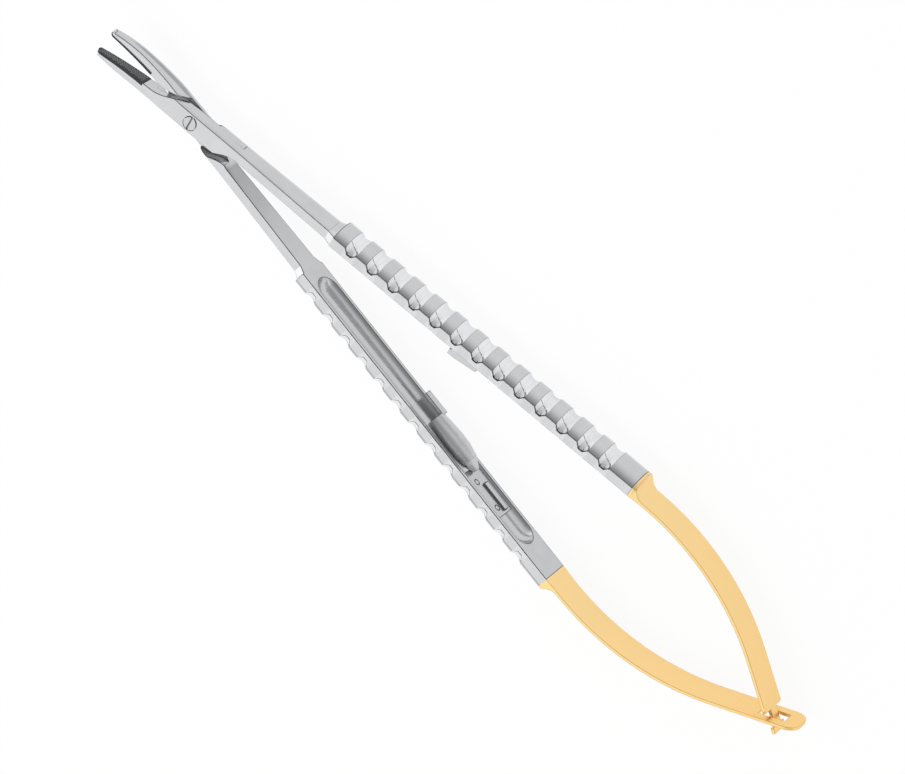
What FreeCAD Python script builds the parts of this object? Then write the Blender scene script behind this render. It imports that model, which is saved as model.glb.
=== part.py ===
"""Spring-handled micro needle holder with curved jaws, ribbed half-round handles and a spring lock.

Frame: the pivot axis is Z and crosses X = Y = 0. X runs from the pivot to the tail, so the jaws
are at negative X. The instrument lies flat, with the screw head and the jaw curve towards +Z.
Each arm is drawn with its inner face in the plane Y = 0 and its metal on the +Y side, and is then
swung to the resting opening. Millimetres.
"""
import FreeCAD
import Part
import math
import os
from FreeCAD import Vector

os.makedirs("parts", exist_ok=True)

# Opening of the instrument
REST_HALF_ANGLE = 6.74          # each handle from the centre plane, springs relaxed
CLOSED_HALF_ANGLE = 1.14        # each handle when the jaws have just met

# Lap joint at the pivot
BOX_HALF_THICKNESS = 2.1        # half of the flat-to-flat thickness along Z
BOX_SIDE = 1.75                 # flat of the side face, each way from the pivot
BOX_CROWN = 2.5                 # crown of the rounded edge, each way from the pivot
SHOULDER_TAIL = 10.9            # where the tail shoulder meets the inner face
SHOULDER_TAIL_RUN = 8.0         # length of the tail shoulder along the arm
SHOULDER_JAW = 9.9              # where the jaw shoulder meets the inner face
SHOULDER_JAW_RUN = 8.7          # length of the jaw shoulder along the arm
SHOULDER_CURVE = (              # share of a shoulder's run, and of its rise to the crown
    (0.0, 0.0), (0.10, 0.045), (0.25, 0.18), (0.40, 0.42), (0.57, 0.71), (0.77, 0.92), (1.0, 1.0),
)
LAP_GAP = 0.04                  # between the two lap faces
LAP_SEAM = 0.3                  # overlap of the jaw's bar and the shank's bar at the pivot
SHOULDER_GAP = 0.10             # between a shoulder and the other arm's lap, jaws shut

# Jaws, along a circular curve that rises to +Z
JAW_START = 4.4                 # where the curve begins, towards the tips
JAW_REACH = 22.0                # pivot to tip, measured along X
JAW_CURVE_RADIUS = 52.0
JAW_TIP_ROUND = 1.05            # radius of the tip seen from the side
JAW_NOSE_ROUND = 1.75           # radius of the tip seen from above
JAW_FACE_RELIEF = 0.10          # steel face lies this far below the insert's face
JAW_STATIONS = (                # share of the curve, half height, flat of the side, crown
    (0.00, BOX_HALF_THICKNESS, BOX_SIDE, BOX_CROWN),
    (0.26, 1.74, 1.90, 2.42),
    (0.50, 1.42, 1.84, 2.26),
    (0.72, 1.18, 1.62, 2.02),
    (0.88, 1.00, 1.22, 1.60),
    (1.00, 0.84, 0.78, 1.10),
)

# Carbide inserts
INSERT_START = 11.6             # pivot to the insert's square end
INSERT_THICKNESS = (0.60, 0.35)  # at the square end and at the tip
INSERT_GAP = 0.03               # from each insert's face to the closing plane

# Pivot screw
SCREW_HEAD_RADIUS = 1.35
SCREW_HEAD_HEIGHT = 0.85
SCREW_HEAD_PROUD = 0.06
SCREW_SHANK_RADIUS = 0.95
SCREW_RUN_CLEARANCE = 0.03      # radial, in the arm that turns on the screw
SCREW_THREAD_CLEARANCE = 0.01   # radial, in the arm that holds the thread
SCREW_SLOT_WIDTH = 0.32
SCREW_SLOT_DEPTH = 0.35
SCREW_SLOT_ANGLE = 99.0

# Shank, from the lap joint to the handle
SHANK_END = (2.70, 1.75, 2.65)          # half width, flat of the side, crown before the handle
SHANK_END_X = 33.2
COLLAR = (3.45, 1.85, 3.30)             # the same at the foot of the first rib

# Ribbed handle
HANDLE_START = 34.8
HANDLE_END = 106.5
HANDLE_HALF_WIDTH = 3.75
HANDLE_SIDE = 1.90
HANDLE_CROWN = 3.92
RIB_PITCH = 5.06
RIB_FIRST_CREST = 2.90
RIB_LAST_CREST = 5.40           # shortest plain length that may stay at the tail end
RIB_VALLEY_WIDTH = 2.65
RIB_VALLEY_DEPTH = 0.50
RIB_VALLEY_CUTS = 3             # straight cuts that make up a groove's round

# Trough milled into the inner face
TROUGH_HALF_WIDTH = 3.0
TROUGH_DEPTH = 1.9
TROUGH_START = 37.2
TROUGH_END = HANDLE_END - 7.0

# Leaf springs
LEAF_THICKNESS = 0.6
LEAF_SIDE_STEP = 0.15           # the leaf is narrower than the bar by this on each side
LEAF_HALF_WIDTH = HANDLE_HALF_WIDTH - LEAF_SIDE_STEP
LEAF_ROOT = 0.6                 # full-section length welded to the bar
LEAF_STRAIGHT = 3.5             # straight part in which the root runs out
LEAF_RADIUS = 53.0              # bow of the middle surface
LEAF_TURN = 37.8                # how far the bow turns, degrees
TONGUE_LENGTH = 5.6             # slotted leaf beyond the crossing
TONGUE_CORNER = 2.6
SLOT_HALF_WIDTH = 1.6
SLOT_HALF_LENGTH = 2.6
TAB_NECK_HALF_WIDTH = 1.25
TAB_NECK_HALF_LENGTH = 1.6
TAB_HEAD_HALF_WIDTH = 2.4
TAB_HEAD_LENGTH = 1.2

# Lock: a hook in the upper handle, a hooded catch on a spring strip in the lower one
STRIP_TOP = 0.45                # depth of both strips' upper face below the inner face
HOOK_START = 64.3
HOOK_LENGTH = 6.0
HOOK_HEIGHT = 2.3               # above the inner face at the head
HOOK_TAIL_HEIGHT = 1.7
HOOK_SIDE = (0.8, 2.0)          # from and to, along Z
HOOK_HEAD_LENGTH = 1.1
HOOK_HEAD_OVERHANG = 0.35
HOOK_FOOT = (62.0, 72.6)
CATCH_AXIS_HEIGHT = 0.4         # axis that the hood's arch is drawn about
CATCH_AXIS_Z = -0.15
CATCH_HOOD = ((70.6, 1.85), (74.0, 2.17), (78.0, 2.2), (81.2, 1.55), (82.9, 0.55))
CATCH_HOOD_BANDS = 5            # bands that make up the hood's arch, end to end
CATCH_WALL = 0.5
CATCH_SKIRT = 0.35              # how far the hood's skirt reaches below the inner face
CATCH_HEAD_START = 65.9
CATCH_HEAD_SIDE = (-1.75, -0.2)
CATCH_HEAD_HEIGHT = (1.6, 2.3)
SPRING_STRIP = (81.9, 92.4)
SPRING_RIB = (85.6, 91.8)
SPRING_RIB_SIDE = (-1.7, -0.3)
SPRING_RIB_HEIGHT = 0.35
RIVET_RADIUS = 0.55
RIVET_DEPTH = 2.7
RIVET_CLEARANCE = 0.01
HOOK_RIVETS = ((63.1, 0.0), (71.5, 0.0))
SPRING_RIVETS = ((84.6, 0.9), (90.6, 0.9))

FAR = 60.0                      # reach of the cutting blocks
BACK_ARCS = 3                   # arcs that make up the round back of a half-round section
Z_AXIS = Vector(0, 0, 1)
ORIGIN = Vector(0, 0, 0)


def turned(shape, degrees):
    """Copy of a shape swung about the pivot axis."""
    copy = shape.copy()
    copy.rotate(ORIGIN, Z_AXIS, degrees)
    return copy


def mirrored(shape):
    """Copy with the metal on the other side of the centre plane."""
    return shape.mirror(ORIGIN, Vector(0, 1, 0))


def block(x, y, z):
    """Box from three pairs of limits."""
    return Part.makeBox(x[1] - x[0], y[1] - y[0], z[1] - z[0], Vector(x[0], y[0], z[0]))


def back_circle(half_width, side, crown):
    """Centre height and radius of the circle through the back of a half-round section."""
    rise = crown - side
    radius = (half_width ** 2 + rise ** 2) / (2 * rise)
    return crown - radius, radius


def section_wire(origin, across, outward, half_width, side, crown):
    """Half-round section: flat inner face, two flat sides and a round back in a few arcs."""
    centre, radius = back_circle(half_width, side, crown)
    half_angle = math.asin(half_width / radius)

    def back_point(share):
        angle = half_angle * (1 - 2 * share)
        return (origin + outward * (centre + radius * math.cos(angle))
                + across * (radius * math.sin(angle)))

    low = origin - across * half_width
    high = origin + across * half_width
    edges = [Part.makeLine(low, high), Part.makeLine(high, back_point(0))]
    for index in range(BACK_ARCS):
        share = index / BACK_ARCS
        edges.append(Part.Arc(back_point(share), back_point(share + 0.5 / BACK_ARCS),
                              back_point(share + 1 / BACK_ARCS)).toShape())
    edges.append(Part.makeLine(back_point(1), low))
    return Part.Wire(edges)


def d_wire(x, half_width, side, crown):
    """Half-round section square to the handle, with its metal on the +Y side."""
    return section_wire(Vector(x, 0, 0), Z_AXIS, Vector(0, 1, 0), half_width, side, crown)


def handle_bar():
    """Half-round bar with round grooves turned into its back and a trough in its inner face."""
    bar = Part.Face(d_wire(HANDLE_START, HANDLE_HALF_WIDTH, HANDLE_SIDE, HANDLE_CROWN))
    bar = bar.extrude(Vector(HANDLE_END - HANDLE_START, 0, 0))
    first = HANDLE_START + RIB_FIRST_CREST + RIB_VALLEY_WIDTH / 2
    room = HANDLE_END - RIB_LAST_CREST - RIB_VALLEY_WIDTH / 2 - first
    rings = [groove_ring(first + index * RIB_PITCH) for index in range(1 + int(room / RIB_PITCH))]
    return bar.cut(rings).cut(trough_tool())


def groove_ring(x):
    """Ring that a lathe tool takes out of the handle's back: a round groove in short cuts."""
    centre, back_radius = back_circle(HANDLE_HALF_WIDTH, HANDLE_SIDE, HANDLE_CROWN)
    radius = (RIB_VALLEY_WIDTH ** 2 / 4 + RIB_VALLEY_DEPTH ** 2) / (2 * RIB_VALLEY_DEPTH)
    half_angle = math.asin(RIB_VALLEY_WIDTH / (2 * radius))
    outside = back_radius + RIB_VALLEY_WIDTH
    middle = back_radius - RIB_VALLEY_DEPTH + radius
    corners = [Vector(x - RIB_VALLEY_WIDTH / 2, centre - outside, 0)]
    for index in range(RIB_VALLEY_CUTS + 1):
        angle = half_angle * (2 * index / RIB_VALLEY_CUTS - 1)
        corners.append(Vector(x + radius * math.sin(angle),
                              centre - middle + radius * math.cos(angle), 0))
    corners.append(Vector(x + RIB_VALLEY_WIDTH / 2, centre - outside, 0))
    profile = Part.Face(Part.makePolygon(corners + corners[:1]))
    return profile.revolve(Vector(x, centre, 0), Vector(1, 0, 0), 360)


def trough_circle():
    """Centre height and radius of the trough's round section."""
    radius = (TROUGH_HALF_WIDTH ** 2 + TROUGH_DEPTH ** 2) / (2 * TROUGH_DEPTH)
    return TROUGH_DEPTH - radius, radius


def trough_tool():
    """Round-nosed cutter that leaves the trough, with ball ends."""
    centre, radius = trough_circle()
    first = TROUGH_START + TROUGH_HALF_WIDTH
    last = TROUGH_END - TROUGH_HALF_WIDTH
    tool = Part.makeCylinder(radius, last - first, Vector(first, centre, 0), Vector(1, 0, 0))
    ends = [Part.makeSphere(radius, Vector(x, centre, 0)) for x in (first, last)]
    return tool.fuse(ends)


def trough_fill(x_limits):
    """Segment that lies on the trough floor, up to a strip's upper face."""
    centre, radius = trough_circle()
    rod = Part.makeCylinder(radius, x_limits[1] - x_limits[0], Vector(x_limits[0], centre, 0),
                            Vector(1, 0, 0))
    return rod.common(block(x_limits, (STRIP_TOP, FAR), (-FAR, FAR)))


def shank():
    """Tapered half-round neck and the collar that meets the first rib."""
    neck_section = (BOX_HALF_THICKNESS, BOX_SIDE, BOX_CROWN)
    neck = Part.makeLoft([d_wire(SHOULDER_TAIL, *neck_section), d_wire(SHANK_END_X, *SHANK_END)],
                         True, True)
    collar = Part.makeLoft([d_wire(SHANK_END_X, *SHANK_END), d_wire(HANDLE_START, *COLLAR)],
                           True, True)
    return neck.fuse(collar)


def crowned_bar(x_limits):
    """Bar of the lap joint: two flat sides and two rounded edges."""
    x = x_limits[0]
    corners = [Vector(x, -BOX_SIDE, BOX_HALF_THICKNESS), Vector(x, BOX_SIDE, BOX_HALF_THICKNESS),
               Vector(x, BOX_SIDE, -BOX_HALF_THICKNESS), Vector(x, -BOX_SIDE, -BOX_HALF_THICKNESS)]
    edges = [Part.makeLine(corners[0], corners[1]),
             Part.Arc(corners[1], Vector(x, BOX_CROWN, 0), corners[2]).toShape(),
             Part.makeLine(corners[2], corners[3]),
             Part.Arc(corners[3], Vector(x, -BOX_CROWN, 0), corners[0]).toShape()]
    return Part.Face(Part.Wire(edges)).extrude(Vector(x_limits[1] - x_limits[0], 0, 0))


def plan_prism(chain, z_limits):
    """Prism over a plan outline of corner points and curves, joined by straight lines."""
    links = []
    for item in chain:
        if isinstance(item, Part.BSplineCurve):
            links.append((item.StartPoint, item.EndPoint, [item.toShape()]))
        else:
            links.append((Vector(*item), Vector(*item), []))
    edges = []
    for (_, end, curve), (start, _, _) in zip(links, links[1:] + links[:1]):
        edges += curve + [Part.makeLine(end, start)]
    face = Part.Face(Part.Wire(edges))
    face.translate(Vector(0, 0, z_limits[0]))
    return face.extrude(Vector(0, 0, z_limits[1] - z_limits[0]))


def shoulder_curve(foot, run, crown, gap=0.0):
    """S-shaped plan line of a shoulder, from its foot at an inner face out past the crown."""
    curve = Part.BSplineCurve()
    curve.interpolate([Vector(foot.x + run * along, foot.y + (crown - foot.y) * rise + gap, 0)
                       for along, rise in SHOULDER_CURVE])
    return curve


def shoulder_feet():
    """Feet of the tail and the jaw shoulder on the two inner faces, jaws shut."""
    closed = math.radians(CLOSED_HALF_ANGLE)
    tail = Vector(math.cos(closed), math.sin(closed), 0) * SHOULDER_TAIL
    return tail, Vector(-SHOULDER_JAW, -JAW_FACE_RELIEF, 0)


def lap_plate():
    """Crossing piece of the arm between its two shoulders, before it is halved."""
    edge = BOX_CROWN + SHOULDER_GAP
    tail, jaw = shoulder_feet()
    outline = [shoulder_curve(tail, -SHOULDER_TAIL_RUN, -edge), (-JAW_START, -edge),
               (-JAW_START, jaw.y), shoulder_curve(jaw, SHOULDER_JAW_RUN, edge),
               (tail.x + 1, edge)]
    prism = plan_prism(outline, (-BOX_HALF_THICKNESS, BOX_HALF_THICKNESS))
    jaw_bar = crowned_bar((-JAW_START, LAP_SEAM)).fuse([jaw_loft(), mirrored(jaw_loft())])
    shank_bar = crowned_bar((-LAP_SEAM, SHOULDER_TAIL))
    return turned(prism, -CLOSED_HALF_ANGLE).common(turned(jaw_bar, -CLOSED_HALF_ANGLE).fuse(shank_bar))


def lap_tool(z_limits):
    """Cutter between the shoulders, which halves the arm where the other one crosses it."""
    edge = BOX_CROWN + SHOULDER_GAP
    tail, jaw = shoulder_feet()
    tail_curve = shoulder_curve(Vector(tail.x, -tail.y, 0), -SHOULDER_TAIL_RUN, edge, SHOULDER_GAP)
    jaw_curve = shoulder_curve(Vector(jaw.x, -jaw.y, 0), SHOULDER_JAW_RUN, -edge, -SHOULDER_GAP)
    outline = [tail_curve, (-FAR, FAR), (-FAR, FAR / 4), jaw_curve, (FAR, -FAR), (FAR, -FAR / 4)]
    return turned(plan_prism(outline, z_limits), -CLOSED_HALF_ANGLE)


def jaw_frame(share):
    """Point, tangent and normal of the jaw's curve, at a share of its length."""
    end = math.asin((JAW_REACH - JAW_START) / JAW_CURVE_RADIUS)
    angle = share * end
    point = Vector(-JAW_START - JAW_CURVE_RADIUS * math.sin(angle), 0,
                   JAW_CURVE_RADIUS * (1 - math.cos(angle)))
    tangent = Vector(-math.cos(angle), 0, math.sin(angle))
    normal = Vector(math.sin(angle), 0, math.cos(angle))
    return point, tangent, normal


def jaw_wire(share, half_height, side, crown):
    """Half-round section square to the jaw's curve, with its metal on the -Y side."""
    point, tangent, normal = jaw_frame(share)
    return section_wire(point, normal, Vector(0, -1, 0), half_height, side, crown)


def jaw_loft():
    """Curved tapering jaw, insert included, up to its square-cut tip."""
    return Part.makeLoft([jaw_wire(*station) for station in JAW_STATIONS], True, False)


def jaw_stock():
    """The same with its tip rounded, seen from the side and from above."""
    tip, tangent, normal = jaw_frame(1.0)
    side_centre = tip - tangent * JAW_TIP_ROUND
    side_round = Part.makeCylinder(JAW_TIP_ROUND, 2 * FAR, side_centre - Vector(0, FAR, 0),
                                   Vector(0, 1, 0))
    side_ahead = block_ahead(side_centre, tangent, normal)
    nose_centre = tip - tangent * JAW_NOSE_ROUND
    nose_round = Part.makeCylinder(JAW_NOSE_ROUND, 2 * FAR, nose_centre - normal * FAR, normal)
    nose_ahead = block_ahead(nose_centre, tangent, normal)
    return jaw_loft().cut(side_ahead.cut(side_round)).cut(nose_ahead.cut(nose_round))


def block_ahead(centre, tangent, normal):
    """Everything ahead of a plane across the jaw."""
    corners = [centre - normal * FAR, centre + normal * FAR,
               centre + normal * FAR + tangent * FAR, centre - normal * FAR + tangent * FAR]
    corners = [corner - Vector(0, FAR, 0) for corner in corners]
    return Part.Face(Part.makePolygon(corners + corners[:1])).extrude(Vector(0, 2 * FAR, 0))


def insert_block(top):
    """Tapering seat of the insert, from its floor up to a given height."""
    rear, tip = INSERT_THICKNESS
    outline = [(-INSERT_START, top), (-INSERT_START, -rear), (-JAW_REACH, -tip), (-FAR, -tip),
               (-FAR, top)]
    return plan_prism(outline, (-FAR, FAR))


def jaw_and_insert():
    """Steel jaw with its seat, and the carbide plate brazed into it."""
    stock = jaw_stock()
    relief = block((-FAR, -JAW_START), (-JAW_FACE_RELIEF, FAR), (-FAR, FAR))
    jaw = stock.cut(insert_block(FAR)).cut(relief)
    return jaw, stock.common(insert_block(-INSERT_GAP))


def forging():
    """One arm with its lap at full thickness, and its insert, handle frame."""
    jaw, insert = jaw_and_insert()
    arm = handle_bar().fuse([shank(), lap_plate(), turned(jaw, -CLOSED_HALF_ANGLE)])
    return arm.removeSplitter(), turned(insert, -CLOSED_HALF_ANGLE)


def rivet_holes(places):
    """Holes for rivets, from the inner face into the metal."""
    return [Part.makeCylinder(RIVET_RADIUS + RIVET_CLEARANCE, RIVET_DEPTH, Vector(x, 0, z),
                              Vector(0, 1, 0)) for x, z in places]


def rivets(places):
    """Flush rivets that hold a strip on the trough floor."""
    pins = [Part.makeCylinder(RIVET_RADIUS, RIVET_DEPTH - STRIP_TOP, Vector(x, STRIP_TOP, z),
                              Vector(0, 1, 0)) for x, z in places]
    return Part.makeCompound(pins)


def screw_hole(radius, head):
    """Hole for the pivot screw, with the seat of its head where one is asked for."""
    hole = Part.makeCylinder(radius, 2 * FAR, Vector(0, 0, -FAR), Z_AXIS)
    if not head:
        return hole
    seat_bottom = BOX_HALF_THICKNESS + SCREW_HEAD_PROUD - SCREW_HEAD_HEIGHT - LAP_GAP / 2
    seat = Part.makeCylinder(SCREW_HEAD_RADIUS + SCREW_RUN_CLEARANCE, FAR, Vector(0, 0, seat_bottom),
                             Z_AXIS)
    return hole.fuse(seat)


def pivot_screw():
    """Slotted cheese-head screw, its end flush with the far side face."""
    top = BOX_HALF_THICKNESS + SCREW_HEAD_PROUD
    head = Part.makeCylinder(SCREW_HEAD_RADIUS, SCREW_HEAD_HEIGHT,
                             Vector(0, 0, top - SCREW_HEAD_HEIGHT), Z_AXIS)
    shaft = Part.makeCylinder(SCREW_SHANK_RADIUS, top - SCREW_HEAD_HEIGHT + BOX_HALF_THICKNESS,
                              Vector(0, 0, -BOX_HALF_THICKNESS), Z_AXIS)
    slot = block((-FAR, FAR), (-SCREW_SLOT_WIDTH / 2, SCREW_SLOT_WIDTH / 2),
                 (top - SCREW_SLOT_DEPTH, FAR))
    return head.fuse(shaft).cut(turned(slot, SCREW_SLOT_ANGLE)).removeSplitter()


def leaf_tail():
    """Start point and direction of the leaf's straight tail, and the crossing's distance along it."""
    turn = math.radians(LEAF_TURN)
    rest = math.radians(REST_HALF_ANGLE)
    start = Vector(HANDLE_END + LEAF_STRAIGHT + LEAF_RADIUS * math.sin(turn),
                   LEAF_THICKNESS / 2 - LEAF_RADIUS * (1 - math.cos(turn)), 0)
    direction = Vector(math.cos(turn), -math.sin(turn), 0)
    crossing = (start.x * math.sin(rest) + start.y * math.cos(rest)) / math.sin(turn - rest)
    return start, direction, crossing


def leaf_blank(tail_length):
    """Bowed strip of even thickness, with the thick root that is welded to the bar."""
    start, direction, crossing = leaf_tail()
    across = Vector(-direction.y, direction.x, 0)
    half = LEAF_THICKNESS / 2
    bend = Vector(HANDLE_END + LEAF_STRAIGHT, 0, 0)
    centre = Vector(bend.x, half - LEAF_RADIUS, 0)
    mid = math.radians(90 - LEAF_TURN / 2)
    toward_mid = Vector(math.cos(mid), math.sin(mid), 0)
    end = start + direction * tail_length
    inner = Part.Arc(bend, centre + toward_mid * (LEAF_RADIUS - half), start - across * half)
    outer = Part.Arc(start + across * half, centre + toward_mid * (LEAF_RADIUS + half),
                     bend + Vector(0, LEAF_THICKNESS, 0))
    root = Vector(HANDLE_END, 0, 0)
    root_top = root + Vector(0, LEAF_THICKNESS, 0)
    edges = [Part.makeLine(root, bend), inner.toShape(),
             Part.makeLine(start - across * half, end - across * half),
             Part.makeLine(end - across * half, end + across * half),
             Part.makeLine(end + across * half, start + across * half), outer.toShape(),
             Part.makeLine(bend + Vector(0, LEAF_THICKNESS, 0), root_top),
             Part.makeLine(root_top, root)]
    strip = Part.Face(Part.Wire(edges)).extrude(Vector(0, 0, 2 * LEAF_HALF_WIDTH))
    strip.translate(Vector(0, 0, -LEAF_HALF_WIDTH))
    return strip.fuse(leaf_root()).removeSplitter()


def leaf_root():
    """Full bar section that runs out in a hollow round, in thickness and in width."""
    length = LEAF_STRAIGHT - 0.1
    run_out = length - LEAF_ROOT
    root = Part.Face(d_wire(HANDLE_END, HANDLE_HALF_WIDTH, HANDLE_SIDE, HANDLE_CROWN))
    root = root.extrude(Vector(length, 0, 0))
    drop = HANDLE_CROWN - LEAF_THICKNESS
    round_radius = (run_out ** 2 + drop ** 2) / (2 * drop)
    hollow = Part.makeCylinder(round_radius, 2 * FAR,
                               Vector(HANDLE_END + length, LEAF_THICKNESS + round_radius, -FAR), Z_AXIS)
    narrow = HANDLE_HALF_WIDTH - LEAF_HALF_WIDTH
    side_radius = (run_out ** 2 + narrow ** 2) / (2 * narrow)
    sides = [Part.makeCylinder(side_radius, 2 * FAR,
                               Vector(HANDLE_END + length, -FAR, side * (LEAF_HALF_WIDTH + side_radius)),
                               Vector(0, 1, 0)) for side in (-1, 1)]
    return root.cut([hollow] + sides)


def tail_block(start, end, half_width):
    """Block across the leaf's tail, between two distances along it."""
    origin, direction, crossing = leaf_tail()
    box = block((start, end), (-FAR, FAR), (-half_width, half_width))
    box.rotate(ORIGIN, Z_AXIS, -LEAF_TURN)
    box.translate(origin)
    return box


def tabbed_leaf():
    """Leaf whose necked tab goes through the other one's slot and ends in a wider head."""
    origin, direction, crossing = leaf_tail()
    neck_start = crossing - TAB_NECK_HALF_LENGTH
    neck_end = crossing + TAB_NECK_HALF_LENGTH
    leaf = leaf_blank(neck_end + TAB_HEAD_LENGTH)
    beside_neck = tail_block(neck_start, neck_end, FAR)
    beside_neck = beside_neck.cut(tail_block(neck_start, neck_end, TAB_NECK_HALF_WIDTH))
    beside_head = tail_block(neck_end, neck_end + FAR, FAR)
    beside_head = beside_head.cut(tail_block(neck_end, neck_end + FAR, TAB_HEAD_HALF_WIDTH))
    return leaf.cut(beside_neck).cut(beside_head)


def slotted_leaf():
    """Leaf with the slot, ending in a tongue with two rounded corners."""
    origin, direction, crossing = leaf_tail()
    end = crossing + TONGUE_LENGTH
    leaf = leaf_blank(end)
    slot = tail_block(crossing - SLOT_HALF_LENGTH, crossing + SLOT_HALF_LENGTH, SLOT_HALF_WIDTH)
    corners = tail_block(end - TONGUE_CORNER, end + FAR, FAR)
    corners = corners.cut(tail_block(end - TONGUE_CORNER, end + FAR, LEAF_HALF_WIDTH - TONGUE_CORNER))
    across = Vector(-direction.y, direction.x, 0)
    for side in (-1, 1):
        centre = origin + direction * (end - TONGUE_CORNER) - across * FAR
        centre = centre + Vector(0, 0, side * (LEAF_HALF_WIDTH - TONGUE_CORNER))
        corners = corners.cut(Part.makeCylinder(TONGUE_CORNER, 2 * FAR, centre, across))
    return leaf.cut(slot).cut(corners)


def lock_hook():
    """Foot strip in the trough and the hooked plate that stands on it."""
    foot = trough_fill(HOOK_FOOT)
    side = HOOK_SIDE
    profile = [(HOOK_START, STRIP_TOP), (HOOK_START, -HOOK_HEIGHT),
               (HOOK_START + HOOK_HEAD_LENGTH, -HOOK_HEIGHT),
               (HOOK_START + HOOK_LENGTH, -HOOK_TAIL_HEIGHT), (HOOK_START + HOOK_LENGTH, STRIP_TOP)]
    plate = plan_prism(profile, side)
    head = block((HOOK_START - HOOK_HEAD_OVERHANG, HOOK_START + HOOK_HEAD_LENGTH),
                 (-HOOK_HEIGHT, -HOOK_HEIGHT + HOOK_HEAD_LENGTH), side)
    hook = foot.fuse([plate, head]).cut(rivet_holes(HOOK_RIVETS))
    return hook.removeSplitter()


def hood_solid(shrink):
    """Arched body of the catch, turned about its own axis; shrink takes a wall off it."""
    axis_y = -CATCH_AXIS_HEIGHT
    arch = Part.BSplineCurve()
    arch.interpolate([Vector(x, axis_y + radius - shrink, CATCH_AXIS_Z) for x, radius in CATCH_HOOD])
    points = arch.discretize(Number=CATCH_HOOD_BANDS + 1)
    first = Vector(points[0].x, axis_y, CATCH_AXIS_Z)
    last = Vector(points[-1].x, axis_y, CATCH_AXIS_Z)
    profile = Part.Face(Part.makePolygon([first] + points + [last, first]))
    return profile.revolve(first, Vector(1, 0, 0), 360)


def lock_catch():
    """Hood with a skirt and, at its tip side, the bar that the hook catches."""
    below = block((0, 2 * FAR), (CATCH_SKIRT, FAR), (-FAR, FAR))
    inner = hood_solid(CATCH_WALL)
    hood = hood_solid(0).cut(inner).cut(below)
    low, high = CATCH_HEAD_HEIGHT
    bar_end = CATCH_HOOD[0][0] + CATCH_WALL
    bar = block((CATCH_HEAD_START, bar_end), (-high, -low), CATCH_HEAD_SIDE)
    return bar.fuse(hood).removeSplitter()


def lock_spring():
    """Strip riveted to the trough floor behind the catch, with a stiffening rib."""
    strip = trough_fill(SPRING_STRIP)
    rib = block(SPRING_RIB, (STRIP_TOP - SPRING_RIB_HEIGHT, STRIP_TOP + 0.2), SPRING_RIB_SIDE)
    return strip.fuse(rib).cut(rivet_holes(SPRING_RIVETS)).removeSplitter()


def save(name, shape):
    shape.exportStep("parts/" + name + ".step")


def screw_side(shape):
    """To the resting place of the arm that carries the screw head."""
    return turned(shape, REST_HALF_ANGLE)


def thread_side(shape):
    """To the resting place of the arm that holds the screw's thread."""
    return turned(mirrored(shape), -REST_HALF_ANGLE)


blank, insert_plate = forging()
upper_half_only = lap_tool((-FAR, LAP_GAP / 2))
lower_half_only = lap_tool((-LAP_GAP / 2, FAR))
head_arm = blank.cut(upper_half_only).cut(rivet_holes(HOOK_RIVETS))
head_arm = head_arm.cut(screw_hole(SCREW_SHANK_RADIUS + SCREW_RUN_CLEARANCE, True))
thread_arm = blank.cut(lower_half_only).cut(rivet_holes(SPRING_RIVETS))
thread_arm = thread_arm.cut(screw_hole(SCREW_SHANK_RADIUS + SCREW_THREAD_CLEARANCE, False))

save("screw_side_arm", screw_side(head_arm))
save("thread_side_arm", thread_side(thread_arm))
save("screw_side_insert", screw_side(insert_plate))
save("thread_side_insert", thread_side(insert_plate))
save("pivot_screw", pivot_screw())
save("tabbed_leaf_spring", screw_side(tabbed_leaf()))
save("slotted_leaf_spring", thread_side(slotted_leaf()))
save("lock_hook", screw_side(lock_hook()))
save("hook_rivets", screw_side(rivets(HOOK_RIVETS)))
save("lock_catch", thread_side(lock_catch()))
save("lock_spring", thread_side(lock_spring()))
save("spring_rivets", thread_side(rivets(SPRING_RIVETS)))
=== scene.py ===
"""Spring-handled micro needle holder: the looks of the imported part, piece by piece in the order in
which the real one is put together."""

import math

import bmesh
import bpy
from mathutils import Matrix, Vector, bvhtree


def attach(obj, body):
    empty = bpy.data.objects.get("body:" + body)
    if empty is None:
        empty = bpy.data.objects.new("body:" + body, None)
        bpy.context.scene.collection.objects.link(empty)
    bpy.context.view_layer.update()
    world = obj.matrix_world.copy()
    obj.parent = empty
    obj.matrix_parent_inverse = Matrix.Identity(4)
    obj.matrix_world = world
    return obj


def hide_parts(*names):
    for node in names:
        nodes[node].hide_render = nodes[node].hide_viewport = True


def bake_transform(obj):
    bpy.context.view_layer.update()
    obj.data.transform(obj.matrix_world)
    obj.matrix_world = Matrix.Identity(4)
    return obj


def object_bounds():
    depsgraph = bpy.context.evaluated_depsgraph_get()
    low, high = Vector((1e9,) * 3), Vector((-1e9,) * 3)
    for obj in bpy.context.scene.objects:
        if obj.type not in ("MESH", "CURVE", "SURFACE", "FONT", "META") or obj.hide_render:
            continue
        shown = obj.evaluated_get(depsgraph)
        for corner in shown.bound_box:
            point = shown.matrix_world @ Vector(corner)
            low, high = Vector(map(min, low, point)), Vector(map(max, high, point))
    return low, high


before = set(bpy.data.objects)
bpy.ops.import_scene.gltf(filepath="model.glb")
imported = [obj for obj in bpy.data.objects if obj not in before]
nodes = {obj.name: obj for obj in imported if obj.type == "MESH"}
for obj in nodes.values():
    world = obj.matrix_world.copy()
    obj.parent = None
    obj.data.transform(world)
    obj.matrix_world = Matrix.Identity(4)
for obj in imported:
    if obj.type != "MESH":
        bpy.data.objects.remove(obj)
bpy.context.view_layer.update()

# ---- Camera and studio
# The instrument lies on its handles' flat sides on a white table. It is seen from above, a little
# to the right of the closing direction, under large soft lamps that leave the steel bright.
scene = bpy.context.scene
scene.view_settings.view_transform = "Standard"

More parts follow.
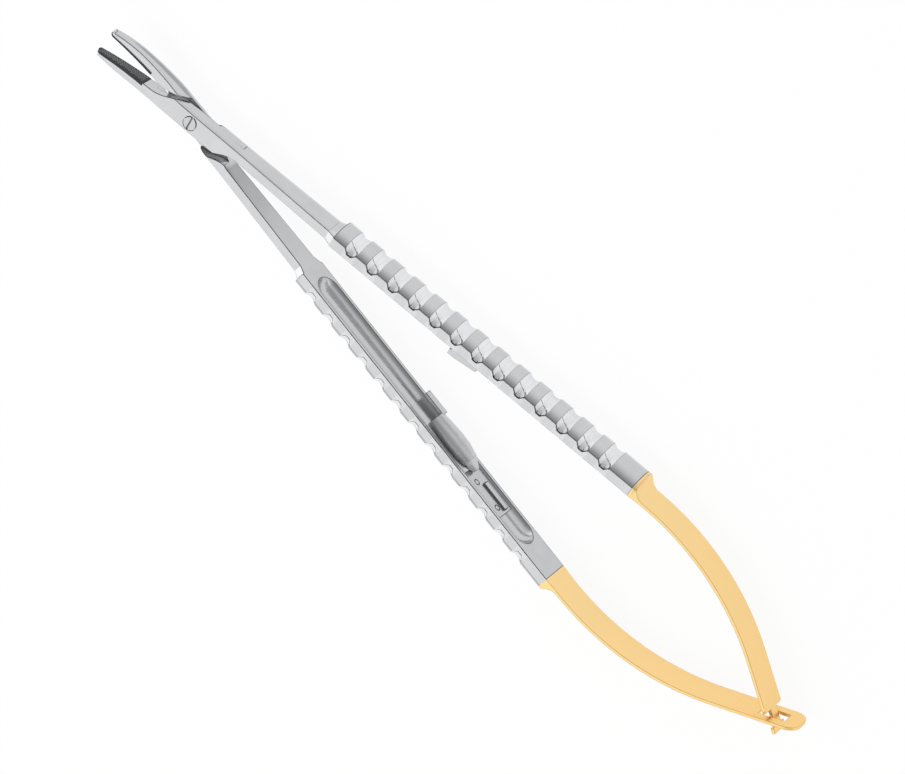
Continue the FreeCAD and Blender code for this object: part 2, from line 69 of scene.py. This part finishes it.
# The camera's three axes and its place in the part's frame, fitted to the instrument's outlines.
VIEW_RIGHT = Vector((0.69475, 0.57440, -0.43290))
VIEW_UP = Vector((-0.71356, 0.62604, -0.31452))
VIEW_BACK = Vector((0.09035, 0.52741, 0.84480))
VIEW_POINT = Vector((0.16369, 0.55458, 0.88891))
PHOTO_WIDTH = 905
FOCAL_PIXELS = 5738
SENSOR_WIDTH = 36.0

camera_data = bpy.data.cameras.new("camera")
camera_data.sensor_fit = "HORIZONTAL"
camera_data.sensor_width = SENSOR_WIDTH
camera_data.lens = SENSOR_WIDTH * FOCAL_PIXELS / PHOTO_WIDTH
camera_data.clip_start = 0.05
camera_data.clip_end = 20.0
camera = bpy.data.objects.new("camera", camera_data)
camera_turn = Matrix((VIEW_RIGHT, VIEW_UP, VIEW_BACK)).transposed()
camera.matrix_world = Matrix.Translation(VIEW_POINT) @ camera_turn.to_4x4()
scene.collection.objects.link(camera)
scene.camera = camera


def linear(hex_colour):
    """sRGB hex to the linear colour that a shader socket takes."""
    values = [int(hex_colour[i:i + 2], 16) / 255 for i in (0, 2, 4)]
    values = [v / 12.92 if v <= 0.04045 else ((v + 0.055) / 1.055) ** 2.4 for v in values]
    return (*values, 1.0)


def add_node(tree, kind, settings=None, links=None):
    """One node with its settings, and its input sockets set to values or joined to other nodes."""
    node = tree.nodes.new(kind)
    for name, value in (settings or {}).items():
        setattr(node, name, value)
    for name, value in (links or {}).items():
        socket = node.inputs[name]
        if isinstance(value, bpy.types.NodeSocket):
            tree.links.new(value, socket)
        else:
            socket.default_value = value
    return node


# The lamps of the studio are drawn on the world. A direction's lean is its angle from straight up,
# across the instrument, in degrees. There are broad white panels on both sides and a dim strip
# overhead, which shades the curved surfaces, and all of it is brighter towards the two ends.
STRIP_FROM, STRIP_TO, STRIP_LEVEL = -12, 30, 0.28
PANELS = ((-180, 0.8), (-90, 0.9), (-60, 1.1), (-40, 1.15), (STRIP_FROM - 6, 1.15),
          (STRIP_FROM, STRIP_LEVEL), (STRIP_TO, STRIP_LEVEL), (38, 0.42), (50, 0.74), (66, 0.92),
          (88, 0.94), (180, 0.94))
ENDS_FROM, ENDS_TO, ENDS_GAIN = 0.4, 0.85, 1.5

world = bpy.data.worlds.new("studio")
world.use_nodes = True
scene.world = world
tree = world.node_tree
tree.nodes.clear()
direction = add_node(tree, "ShaderNodeTexCoord").outputs["Generated"]
heading = add_node(tree, "ShaderNodeSeparateXYZ", links={"Vector": direction})
lean = add_node(tree, "ShaderNodeMath", {"operation": "ARCTAN2"}, {
    0: heading.outputs["Y"], 1: heading.outputs["Z"]})
across = add_node(tree, "ShaderNodeMapRange", links={
    "Value": lean.outputs[0], "From Min": -math.pi, "From Max": math.pi})
panels = add_node(tree, "ShaderNodeValToRGB", links={"Fac": across.outputs["Result"]})
ramp = panels.color_ramp
while len(ramp.elements) < len(PANELS):
    ramp.elements.new(1.0)
for stop, (angle, level) in zip(ramp.elements, PANELS):
    stop.position = angle / 360 + 0.5
    stop.color = (level, level, level, 1.0)
lengthwise = add_node(tree, "ShaderNodeMath", {"operation": "ABSOLUTE"}, {0: heading.outputs["X"]})
ends = add_node(tree, "ShaderNodeMapRange", {"interpolation_type": "SMOOTHSTEP"}, {
    "Value": lengthwise.outputs[0], "From Min": ENDS_FROM, "From Max": ENDS_TO,
    "To Min": 1.0, "To Max": ENDS_GAIN})
room = add_node(tree, "ShaderNodeBackground", links={
    "Color": panels.outputs["Color"], "Strength": ends.outputs["Result"]})
white = add_node(tree, "ShaderNodeBackground", links={
    "Color": linear("FFFFFF"), "Strength": 1.0})
ray = add_node(tree, "ShaderNodeLightPath")
shown = add_node(tree, "ShaderNodeMixShader", links={
    0: ray.outputs["Is Camera Ray"], 1: room.outputs[0], 2: white.outputs[0]})
add_node(tree, "ShaderNodeOutputWorld", links={"Surface": shown.outputs[0]})

# One large softbox gives the faint shadow. It is left out of reflections, so that no square shows
# in the steel.
SOFTBOX_PLACE, SOFTBOX_AIM = Vector((-0.30, -0.45, 0.80)), Vector((0.07, 0, 0))
lamp = bpy.data.lights.new("key_softbox", "AREA")
lamp.shape = "SQUARE"
lamp.size = 0.6
lamp.energy = 4.0
softbox = bpy.data.objects.new("key_softbox", lamp)
softbox.location = SOFTBOX_PLACE
softbox.rotation_euler = (SOFTBOX_AIM - SOFTBOX_PLACE).to_track_quat("-Z", "Y").to_euler()
softbox.visible_glossy = False
scene.collection.objects.link(softbox)

# ---- Table
# White laminate table under the instrument: matt and near pure white, so that it fades into the
# backdrop and keeps only the soft shadow of the handles.
TABLE_MIDDLE, TABLE_HALF_SIZE = 0.07, 3.0
table_mesh = bpy.data.meshes.new("table")
shape = bmesh.new()
bmesh.ops.create_grid(shape, x_segments=1, y_segments=1, size=TABLE_HALF_SIZE)
bmesh.ops.translate(shape, verts=shape.verts, vec=(TABLE_MIDDLE, 0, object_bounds()[0][2]))
shape.to_mesh(table_mesh)
shape.free()
table = bpy.data.objects.new("table", table_mesh)
scene.collection.objects.link(table)


def new_material(name):
    """Empty node material."""
    material = bpy.data.materials.new(name)
    material.use_nodes = True
    material.node_tree.nodes.clear()
    return material


# White melamine laminate: matt, with no gloss of its own. The camera, and what mirrors the table,
# see it as the white backdrop for the most part, and the rest is its own lit colour.
BACKDROP_SHARE = 0.93
laminate = new_material("white laminate table")
tree = laminate.node_tree
matt = add_node(tree, "ShaderNodeBsdfDiffuse", links={"Color": linear("F6F6F6")})
backdrop = add_node(tree, "ShaderNodeEmission", links={
    "Color": linear("FFFFFF"), "Strength": 1.0})
ray = add_node(tree, "ShaderNodeLightPath")
seen = add_node(tree, "ShaderNodeMath", {"operation": "MAXIMUM"}, {
    0: ray.outputs["Is Camera Ray"], 1: ray.outputs["Is Glossy Ray"]})
share = add_node(tree, "ShaderNodeMath", {"operation": "MULTIPLY"}, {
    0: seen.outputs[0], 1: BACKDROP_SHARE})
faded = add_node(tree, "ShaderNodeMixShader", links={
    0: share.outputs[0], 1: matt.outputs[0], 2: backdrop.outputs[0]})
add_node(tree, "ShaderNodeOutputMaterial", links={"Surface": faded.outputs[0]})
table.data.materials.append(laminate)

# ---- Arms
# Two forged arms of martensitic stainless steel, one the mirror of the other: jaw, half of the lap,
# shank and half-round handle in one piece. They are milled flat inside and turned round outside,
# the grooves are cut across the handle, and the whole is bead blasted satin.

# Satin stainless steel: an even light grey with soft streaks and faint clouds of tone, and a thin
# painted dark line where two faces meet, painted shade that stands in for dark reflections along
# the edges. Noise scales are cells per millimetre, and a noise value seldom leaves NOISE_SPAN. The
# clouds are about 4 mm wide. Real finishing lines are some 0.02 mm wide and don't show, so they
# are drawn coarser, 0.2 mm wide and 1.1 mm long.
PER_MM = 1000.0
CLOUDS = 0.26 * PER_MM
LINES = (0.9 * PER_MM, 5.0 * PER_MM, 5.0 * PER_MM)
NOISE_SPAN = {"From Min": 0.3, "From Max": 0.7}
FINE_RELIEF = 0.00002
EDGE_RADIUS = 0.00026
CREASE_FROM, CREASE_TO = 0.980, 0.9995
UNLIT_EDGE, LIT_EDGE = 0.0, 0.10

# Ribbed handles: the arms' tilt at rest, where the grooves lie along an arm, and the half width of
# the bar. The grooves are rougher than the crests, and painted paler as painted light. On the arms'
# backs each ends in a painted dark arc and a painted dark lip, painted shade where the cut meets
# the round back. OUTER and BACK say how a face there looks inwards.
ARM_TILT = math.radians(6.74)
GROOVE_START, GROOVE_PITCH, GROOVE_SHARE, GROOVE_BLUR = 0.037705, 0.00506, 0.524, 0.015
RIBBED_MIDDLE, RIBBED_HALF_LENGTH = 0.07005, 0.0326
BAR_HALF_WIDTH, ARC_DEPTH, ARC_RADIUS, ARC_HALF_LINE = 0.00375, 0.00135, 0.96, 0.05
OUTER, BACK = 0.03, -0.3
GROOVE_ROUGHNESS, GROOVE_LIGHT_SIDE, GROOVE_LIGHT_TOP = 0.48, 1.42, 1.30
SHADE_AT_SHOULDER, SHADE_ALONG_HANDLE = 0.62, 0.96
LIP_SHADE, ARC_SHADE, FLANK_SHADE = 0.08, 0.36, 0.58
CREST_EDGE_TONE, FACET_EDGE_TONE, RIM_EDGE_TONE, GROOVE_CREASE_FROM = 0.14, 1.32, 0.03, 0.996


def ribbed_arm(tree, point, facing, side, tone, rough):
    """Tones of one arm, with its painted light and shade, laid out in its own frame. Takes the plain
    steel's tone and roughness, and gives back both, the tone of the painted edge lines, and the bend
    at which such a line begins."""
    along = add_node(tree, "ShaderNodeMapping", links={
        "Vector": point, "Rotation": (0, 0, -side * ARM_TILT)})
    spot = add_node(tree, "ShaderNodeSeparateXYZ", links={"Vector": along.outputs[0]})
    from_centre = add_node(tree, "ShaderNodeMath", {"operation": "ABSOLUTE"}, {
        0: spot.outputs["Z"]}).outputs[0]
    inward = (math.sin(ARM_TILT), -side * math.cos(ARM_TILT), 0)
    towards = add_node(tree, "ShaderNodeVectorMath", {"operation": "DOT_PRODUCT"}, {
        0: facing, 1: inward}).outputs["Value"]
    on_back = add_node(tree, "ShaderNodeMath", {"operation": "LESS_THAN"}, {
        0: towards, 1: BACK}).outputs[0]

    # Grooves: the cycle runs from 0 to 1 over each groove and the crest behind it.
    count = add_node(tree, "ShaderNodeMath", {"operation": "MULTIPLY_ADD"}, {
        0: spot.outputs["X"], 1: 1 / GROOVE_PITCH, 2: -GROOVE_START / GROOVE_PITCH})
    cycle = add_node(tree, "ShaderNodeMath", {"operation": "FRACT"}, {0: count.outputs[0]})
    centred = add_node(tree, "ShaderNodeMath", {"operation": "SUBTRACT"}, {
        0: cycle.outputs[0], 1: GROOVE_SHARE / 2})
    off = add_node(tree, "ShaderNodeMath", {"operation": "ABSOLUTE"}, {0: centred.outputs[0]})
    cut = add_node(tree, "ShaderNodeMapRange", links={
        "Value": off.outputs[0], "From Min": GROOVE_SHARE / 2 - GROOVE_BLUR,
        "From Max": GROOVE_SHARE / 2 + GROOVE_BLUR, "To Min": 1.0, "To Max": 0.0})
    from_middle = add_node(tree, "ShaderNodeMath", {"operation": "SUBTRACT"}, {
        0: spot.outputs["X"], 1: RIBBED_MIDDLE})
    reach = add_node(tree, "ShaderNodeMath", {"operation": "ABSOLUTE"}, {
        0: from_middle.outputs[0]})
    ribbed = add_node(tree, "ShaderNodeMath", {"operation": "LESS_THAN"}, {
        0: reach.outputs[0], 1: RIBBED_HALF_LENGTH})
    outside = add_node(tree, "ShaderNodeMath", {"operation": "LESS_THAN"}, {
        0: towards, 1: OUTER})
    in_groove = cut.outputs["Result"]
    for part in (ribbed, outside):
        in_groove = add_node(tree, "ShaderNodeMath", {"operation": "MULTIPLY"}, {
            0: in_groove, 1: part.outputs[0]}).outputs[0]
    on_crest = add_node(tree, "ShaderNodeMapRange", links={
        "Value": in_groove, "To Min": 1.0, "To Max": 0.0}).outputs["Result"]
    rough = add_node(tree, "ShaderNodeMapRange", links={
        "Value": in_groove, "To Min": rough, "To Max": GROOVE_ROUGHNESS}).outputs["Result"]

    # Painted light: grooves are painted paler than the crests, a little less so where they face up.
    faced = add_node(tree, "ShaderNodeSeparateXYZ", links={"Vector": facing})
    level = add_node(tree, "ShaderNodeMath", {"operation": "ABSOLUTE"}, {0: faced.outputs["Z"]})
    painted_groove_light = add_node(tree, "ShaderNodeMapRange", links={
        "Value": level.outputs[0], "From Min": 0.80, "From Max": 0.97,
        "To Min": GROOVE_LIGHT_SIDE, "To Max": GROOVE_LIGHT_TOP}).outputs["Result"]

    # Painted shade: the milled inner face is painted darker from the shoulder on, where the other
    # arm darkens what it mirrors, and it clears along the handle.
    inner_face = add_node(tree, "ShaderNodeMapRange", links={
        "Value": towards, "From Min": 0.985, "From Max": 0.995}).outputs["Result"]
    shoulder_shade = add_node(tree, "ShaderNodeMapRange", {"interpolation_type": "SMOOTHSTEP"}, {
        "Value": spot.outputs["X"], "From Min": 0.006, "From Max": 0.034,
        "To Min": SHADE_AT_SHOULDER, "To Max": SHADE_ALONG_HANDLE}).outputs["Result"]

    # Painted shade: a dark arc at the end of each groove where the cut meets the round back, a dark
    # lip below it, and a darker flank of a crest, all standing in for shade and dark reflections.
    depth = add_node(tree, "ShaderNodeMapRange", {"clamp": False}, {
        "Value": from_centre, "From Min": BAR_HALF_WIDTH,
        "From Max": BAR_HALF_WIDTH - ARC_DEPTH})
    length = add_node(tree, "ShaderNodeMath", {"operation": "MULTIPLY"}, {
        0: cycle.outputs[0], 1: 1 / GROOVE_SHARE})
    corner = add_node(tree, "ShaderNodeCombineXYZ", links={
        "X": length.outputs[0], "Y": depth.outputs["Result"]})
    radius = add_node(tree, "ShaderNodeVectorMath", {"operation": "LENGTH"}, {
        0: corner.outputs[0]})
    arc = add_node(tree, "ShaderNodeMath", {"operation": "COMPARE"}, {
        0: radius.outputs["Value"], 1: ARC_RADIUS, 2: ARC_HALF_LINE}).outputs[0]
    lip = add_node(tree, "ShaderNodeMapRange", links={
        "Value": from_centre, "From Min": 0.00364, "From Max": 0.00368}).outputs["Result"]
    flank = add_node(tree, "ShaderNodeMapRange", links={
        "Value": from_centre, "From Min": 0.0025, "From Max": 0.0037}).outputs["Result"]

    # Each tone counts where all its masks do.
    for masks, shade in (((in_groove,), painted_groove_light), ((inner_face,), shoulder_shade),
                         ((in_groove, on_back, lip), LIP_SHADE),
                         ((in_groove, on_back, arc), ARC_SHADE),
                         ((on_crest, on_back, flank), FLANK_SHADE)):
        mask = masks[0]
        for part in masks[1:]:
            mask = add_node(tree, "ShaderNodeMath", {"operation": "MULTIPLY"}, {
                0: mask, 1: part}).outputs[0]
        change = add_node(tree, "ShaderNodeMapRange", links={
            "Value": mask, "To Min": 1.0, "To Max": shade})
        tone = add_node(tree, "ShaderNodeMath", {"operation": "MULTIPLY"}, {
            0: tone, 1: change.outputs["Result"]}).outputs[0]

    # A groove has its painted dark line only along the outer rim, and none between its three facets.
    rim = add_node(tree, "ShaderNodeMapRange", links={
        "Value": from_centre, "From Min": 0.0034, "From Max": 0.0036,
        "To Min": FACET_EDGE_TONE, "To Max": RIM_EDGE_TONE})
    painted_edge_tone = add_node(tree, "ShaderNodeMapRange", links={
        "Value": in_groove, "To Min": CREST_EDGE_TONE,
        "To Max": rim.outputs["Result"]}).outputs["Result"]
    crease = add_node(tree, "ShaderNodeMapRange", links={
        "Value": in_groove, "To Min": CREASE_FROM,
        "To Max": GROOVE_CREASE_FROM}).outputs["Result"]
    return tone, rough, painted_edge_tone, crease


def steel(name, shade, roughness, painted_edge_tone=0.08, arm_side=None):
    """Stainless steel: fine finishing lines, faint clouds of tone and thin painted dark lines along
    the edges, painted shade there. For an arm, arm_side is 1 or -1, the side of the closing plane
    that its handle is on."""
    material = new_material(name)
    tree = material.node_tree
    place = add_node(tree, "ShaderNodeTexCoord")
    point, facing = place.outputs["Object"], place.outputs["Normal"]
    stretched = add_node(tree, "ShaderNodeMapping", links={"Vector": point, "Scale": LINES})
    lines = add_node(tree, "ShaderNodeTexNoise", links={
        "Vector": stretched.outputs[0], "Scale": 1.0, "Detail": 3.0})
    cloud = add_node(tree, "ShaderNodeTexNoise", links={
        "Vector": point, "Scale": CLOUDS, "Detail": 3.0})
    rough = add_node(tree, "ShaderNodeMapRange", links={
        "Value": lines.outputs["Fac"], **NOISE_SPAN,
        "To Min": roughness - 0.04, "To Max": roughness + 0.06}).outputs["Result"]
    tone = add_node(tree, "ShaderNodeMapRange", links={
        "Value": cloud.outputs["Fac"], **NOISE_SPAN,
        "To Min": 0.94, "To Max": 1.0}).outputs["Result"]
    crease = CREASE_FROM
    if arm_side is not None:
        tone, rough, painted_edge_tone, crease = ribbed_arm(tree, point, facing, arm_side, tone, rough)

    # Painted shade: a dark edge line where the rounded normal leaves the face's own, on edges that
    # face the light. It stands in for dark reflections at the edges.
    rounded = add_node(tree, "ShaderNodeBevel", {"samples": 8}, {"Radius": EDGE_RADIUS})
    own = add_node(tree, "ShaderNodeNewGeometry").outputs["Normal"]
    turn = add_node(tree, "ShaderNodeVectorMath", {"operation": "DOT_PRODUCT"}, {
        0: rounded.outputs["Normal"], 1: own})
    unbent = add_node(tree, "ShaderNodeMapRange", {"interpolation_type": "SMOOTHSTEP"}, {
        "Value": turn.outputs["Value"], "From Min": crease, "From Max": CREASE_TO})
    lit = add_node(tree, "ShaderNodeVectorMath", {"operation": "DOT_PRODUCT"}, {
        0: rounded.outputs["Normal"], 1: (0, 1, 0)})
    unlit = add_node(tree, "ShaderNodeMapRange", links={
        "Value": lit.outputs["Value"], "From Min": UNLIT_EDGE, "From Max": LIT_EDGE,
        "To Min": 1.0, "To Max": 0.0})
    plain = add_node(tree, "ShaderNodeMath", {"operation": "MAXIMUM"}, {
        0: unbent.outputs["Result"], 1: unlit.outputs["Result"]})
    lined = add_node(tree, "ShaderNodeMapRange", links={
        "Value": plain.outputs[0], "To Min": painted_edge_tone, "To Max": tone})

    colour = add_node(tree, "ShaderNodeVectorMath", {"operation": "SCALE"}, {
        0: linear(shade)[:3], "Scale": lined.outputs["Result"]})
    grain = add_node(tree, "ShaderNodeBump", links={
        "Strength": 0.12, "Distance": FINE_RELIEF, "Height": lines.outputs["Fac"],
        "Normal": rounded.outputs["Normal"]})
    metal = add_node(tree, "ShaderNodeBsdfPrincipled", links={
        "Base Color": colour.outputs[0], "Metallic": 1.0, "Roughness": rough,
        "Normal": grain.outputs[0]})
    add_node(tree, "ShaderNodeOutputMaterial", links={"Surface": metal.outputs[0]})
    return material


def finish_node(name, material):
    """Gives a CAD node its material."""
    mesh = nodes[name].data
    mesh.materials.clear()
    mesh.materials.append(material)


for arm, of_side, side in (("screw_side_arm", "of the screw side", 1),
                           ("thread_side_arm", "of the thread side", -1)):
    finish_node(arm, steel("satin stainless steel " + of_side, "CDCED0", 0.20, arm_side=side))

# ---- Inserts
# Sintered tungsten carbide plates brazed into both jaws, with small pyramids ground into the
# gripping faces in crossing rows. Real pyramids are finer and deeper. These are 0.48 mm apart, to
# show, and low enough to clear each other in the shut jaws.
TOOTH_PITCH, TOOTH_HEIGHT, TOOTH_CORNER, TOOTH_LIFT = 0.00048, 0.000026, 0.68, 0.02
ROWS_ALONG, ROWS_UP = range(-80, -30), range(-6, 16)
PROBE_HEIGHT, PROBE_REACH = 0.0002, 0.0003

# Tungsten carbide: a heavy dark grey with a dull shine. Its real grit is under 0.01 mm, too fine to
# show, and is drawn 0.17 mm coarse. The pyramids' tops are burnished lighter by use.
GRIT = 6.0 * PER_MM


def hard_metal(name, shade):
    """Sintered carbide: fine grit in tone, gloss and relief."""
    material = new_material(name)
    tree = material.node_tree
    point = add_node(tree, "ShaderNodeTexCoord").outputs["Object"]
    grit = add_node(tree, "ShaderNodeTexNoise", links={
        "Vector": point, "Scale": GRIT, "Detail": 2.0}).outputs["Fac"]
    tint = add_node(tree, "ShaderNodeMapRange", links={
        "Value": grit, **NOISE_SPAN, "To Min": 0.75, "To Max": 1.0})
    colour = add_node(tree, "ShaderNodeVectorMath", {"operation": "SCALE"}, {
        0: linear(shade)[:3], "Scale": tint.outputs["Result"]})
    rough = add_node(tree, "ShaderNodeMapRange", links={
        "Value": grit, **NOISE_SPAN, "To Min": 0.34, "To Max": 0.50})
    pits = add_node(tree, "ShaderNodeBump", links={
        "Strength": 0.25, "Distance": FINE_RELIEF, "Height": grit})
    metal = add_node(tree, "ShaderNodeBsdfPrincipled", links={
        "Base Color": colour.outputs[0], "Metallic": 1.0,
        "Roughness": rough.outputs["Result"], "Normal": pits.outputs[0]})
    add_node(tree, "ShaderNodeOutputMaterial", links={"Surface": metal.outputs[0]})
    return material


carbide = hard_metal("sintered tungsten carbide", "474849")
tooth_tops = hard_metal("burnished carbide pyramids", "828385")

# Geometry Nodes: a four-sided pyramid on every point, turned to the way that the face looks.
pyramids = bpy.data.node_groups.new("insert pyramids", "GeometryNodeTree")
for name, kind in (("Points", "NodeSocketGeometry"), ("Pitch", "NodeSocketFloat"),
                   ("Height", "NodeSocketFloat"), ("Finish", "NodeSocketMaterial")):
    pyramids.interface.new_socket(name, in_out="INPUT", socket_type=kind)
pyramids.interface.new_socket("Teeth", in_out="OUTPUT", socket_type="NodeSocketGeometry")
given = add_node(pyramids, "NodeGroupInput")
corner = add_node(pyramids, "ShaderNodeMath", {"operation": "MULTIPLY"}, {
    0: given.outputs["Pitch"], 1: TOOTH_CORNER})
pyramid = add_node(pyramids, "GeometryNodeMeshCone", links={
    "Vertices": 4, "Radius Bottom": corner.outputs[0], "Radius Top": 0.0,
    "Depth": given.outputs["Height"]})
away = add_node(pyramids, "GeometryNodeInputNamedAttribute", {"data_type": "FLOAT_VECTOR"}, {
    "Name": "facing"})
aligned = add_node(pyramids, "FunctionNodeAlignRotationToVector", {"axis": "Z"}, {
    "Vector": away.outputs[0]})
placed = add_node(pyramids, "GeometryNodeInstanceOnPoints", links={
    "Points": given.outputs["Points"], "Instance": pyramid.outputs["Mesh"],
    "Rotation": aligned.outputs[0]})
real = add_node(pyramids, "GeometryNodeRealizeInstances", links={"Geometry": placed.outputs[0]})
finished = add_node(pyramids, "GeometryNodeSetMaterial", links={
    "Geometry": real.outputs[0], "Material": given.outputs["Finish"]})
add_node(pyramids, "NodeGroupOutput", links={"Teeth": finished.outputs[0]})


def teeth(name, node, side, body):
    """Pyramids over the gripping face of one insert, wherever a whole one fits on it."""
    solid = bmesh.new()
    solid.from_mesh(nodes[node].data)
    gripping = [f for f in solid.faces if f.normal.y * side > 0.9 and abs(f.normal.x) > 0.09]
    face = max(gripping, key=lambda f: f.calc_area())
    normal, corner = face.normal.copy(), face.verts[0].co.copy()
    run = Vector((normal.y, -normal.x, 0)) * side
    surface = bvhtree.BVHTree.FromBMesh(solid)
    solid.free()

    # Rows are counted from the pivot, which lies at x 0, so both jaws have the same ones. The
    # pyramids stand a hair off the face, so that no two surfaces lie in one plane.
    step = TOOTH_PITCH / math.sqrt(2)
    origin = corner - run * (corner.x / run.x)
    points = []
    for i in ROWS_ALONG:
        for k in ROWS_UP:
            spot = origin + run * (i * step) + Vector((0, 0, (k + 0.5 * (i % 2)) * step * 2))
            corners = [spot + run * a + Vector((0, 0, b)) + normal * PROBE_HEIGHT
                       for a, b in ((step, 0), (-step, 0), (0, step), (0, -step))]
            if all(surface.ray_cast(start, -normal, PROBE_REACH)[0] for start in corners):
                points.append(spot + normal * (TOOTH_HEIGHT * TOOTH_LIFT))
    mesh = bpy.data.meshes.new(name + "_points")
    mesh.from_pydata([tuple(p) for p in points], [], [])
    facing = mesh.attributes.new("facing", "FLOAT_VECTOR", "POINT")
    for item in facing.data:
        item.vector = normal

    base = bpy.data.objects.new(name + "_points", mesh)
    scene.collection.objects.link(base)
    grower = base.modifiers.new("pyramids", "NODES")
    grower.node_group = pyramids
    keys = {item.name: item.identifier for item in pyramids.interface.items_tree
            if item.in_out == "INPUT"}
    grower[keys["Pitch"]] = step
    grower[keys["Height"]] = TOOTH_HEIGHT
    grower[keys["Finish"]] = tooth_tops
    graph = bpy.context.evaluated_depsgraph_get()
    grown = bpy.data.meshes.new_from_object(base.evaluated_get(graph))
    bpy.data.objects.remove(base)
    piece = bpy.data.objects.new(name, grown)
    scene.collection.objects.link(piece)
    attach(piece, body)


for node, side, body in (("screw_side_insert", 1, "screw_side"),
                         ("thread_side_insert", -1, "thread_side")):
    finish_node(node, carbide)
    teeth(node + "_teeth", node, side, body)

# ---- Pivot screw
# Slotted screw of hardened stainless steel that holds the two halves of the lap together and lets
# them turn. It is turned from bar, and its head is ground.

# Ground stainless steel: a shade greyer than the satin of the arms, with the same fine lines.
ground_steel = steel("ground stainless steel", "C9CACC", 0.24)
finish_node("pivot_screw", ground_steel)

# ---- Lock hook
# Hook of hardened stainless steel on a foot that fills the upper handle's trough. It is milled from
# bar, ground, and held by two rivets.
finish_node("lock_hook", ground_steel)
finish_node("hook_rivets", ground_steel)

# ---- Lock spring
# Strip of spring steel in the lower handle's trough, which carries the catch and bends under the
# thumb. It is ground flat and held by two rivets.
finish_node("lock_spring", ground_steel)
finish_node("spring_rivets", ground_steel)

# ---- Lock catch
# Hooded catch of stainless steel on that strip, which a thumb presses off the hook. Its hood is
# arched, milled smooth and bead blasted.

# Bead blasted stainless steel: paler and duller than the rest, with broad soft shading and softer
# painted dark lines along the edges, painted shade there.
finish_node("lock_catch", steel("bead blasted stainless steel", "D6D7D9", 0.44, painted_edge_tone=0.30))

# ---- Leaf springs
# Bowed strips of spring steel, welded to the handles' tail ends and gold plated up to the weld.
# They bend as the handles close, and stay hooked into each other at the tail.

# Gold plated steel: a warm pale yellow, painted a little deeper towards the tail as painted shade,
# with a soft satin shine, faint clouds about 6 mm wide and a painted brown shade line along the
# edges.
GOLD_CLOUDS = 0.16 * PER_MM
DEEPER_FROM, DEEPER_TO = 0.110, 0.155
GOLD_EDGE_RADIUS = 0.00015
gold = new_material("gold plated spring steel")
tree = gold.node_tree
point = add_node(tree, "ShaderNodeTexCoord").outputs["Object"]
cloud = add_node(tree, "ShaderNodeTexNoise", links={
    "Vector": point, "Scale": GOLD_CLOUDS, "Detail": 3.0}).outputs["Fac"]
rough = add_node(tree, "ShaderNodeMapRange", links={
    "Value": cloud, **NOISE_SPAN, "To Min": 0.34, "To Max": 0.42})
tone = add_node(tree, "ShaderNodeMapRange", links={
    "Value": cloud, **NOISE_SPAN, "To Min": 0.97, "To Max": 1.0})
spot = add_node(tree, "ShaderNodeSeparateXYZ", links={"Vector": point})
# Painted shade: the plating is drawn deeper towards the tail.
tailwards = add_node(tree, "ShaderNodeMapRange", links={
    "Value": spot.outputs["X"], "From Min": DEEPER_FROM, "From Max": DEEPER_TO})
# Sockets 0, 6 and 7 of a colour Mix are its factor and its two colours, and output 2 is the result.
plating = add_node(tree, "ShaderNodeMix", {"data_type": "RGBA"}, {
    0: tailwards.outputs["Result"], 6: linear("FFDD9C"), 7: linear("FFD78E")})
# Painted shade: a brown line along the edges, where the rounded normal leaves the face's own.
rounded = add_node(tree, "ShaderNodeBevel", {"samples": 8}, {"Radius": GOLD_EDGE_RADIUS})
own = add_node(tree, "ShaderNodeNewGeometry").outputs["Normal"]
turn = add_node(tree, "ShaderNodeVectorMath", {"operation": "DOT_PRODUCT"}, {
    0: rounded.outputs["Normal"], 1: own})
lined = add_node(tree, "ShaderNodeMapRange", {"interpolation_type": "SMOOTHSTEP"}, {
    "Value": turn.outputs["Value"], "From Min": 0.90, "From Max": 0.99,
    "To Min": 0.50, "To Max": tone.outputs["Result"]})
colour = add_node(tree, "ShaderNodeVectorMath", {"operation": "SCALE"}, {
    0: plating.outputs[2], "Scale": lined.outputs["Result"]})
metal = add_node(tree, "ShaderNodeBsdfPrincipled", links={
    "Base Color": colour.outputs[0], "Metallic": 1.0, "Roughness": rough.outputs["Result"],
    "Normal": rounded.outputs["Normal"]})
add_node(tree, "ShaderNodeOutputMaterial", links={"Surface": metal.outputs[0]})

# Each leaf is a copy of its solid, merged, with flat faces joined, and cut across every 1.5 mm from
# the weld to the tail.
LEAF_START, LEAF_STEP, LEAF_CUTS, ON_CUT = 0.1065, 0.0015, 33, 1e-7
MERGE_DISTANCE, FLAT_WITHIN, SHARP_FROM = 2e-6, math.radians(0.4), math.radians(30)
for node, own, other in (("tabbed_leaf_spring", "screw_side", "thread_side"),
                         ("slotted_leaf_spring", "thread_side", "screw_side")):
    shape = bmesh.new()
    shape.from_mesh(nodes[node].data)
    bmesh.ops.remove_doubles(shape, verts=shape.verts, dist=MERGE_DISTANCE)
    bmesh.ops.dissolve_limit(shape, angle_limit=FLAT_WITHIN, verts=shape.verts[:],
                             edges=shape.edges[:])
    for i in range(LEAF_CUTS):
        bmesh.ops.bisect_plane(shape, geom=shape.verts[:] + shape.edges[:] + shape.faces[:],
                               dist=ON_CUT, plane_co=(LEAF_START + LEAF_STEP * i, 0, 0),
                               plane_no=(1, 0, 0))
    mesh = bpy.data.meshes.new(node + "_bent")
    shape.to_mesh(mesh)
    shape.free()
    mesh.materials.append(gold)
    mesh.shade_smooth()
    mesh.set_sharp_from_angle(angle=SHARP_FROM)
    leaf = bpy.data.objects.new(node + "_bent", mesh)
    scene.collection.objects.link(leaf)
    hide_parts(node)
    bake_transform(leaf)
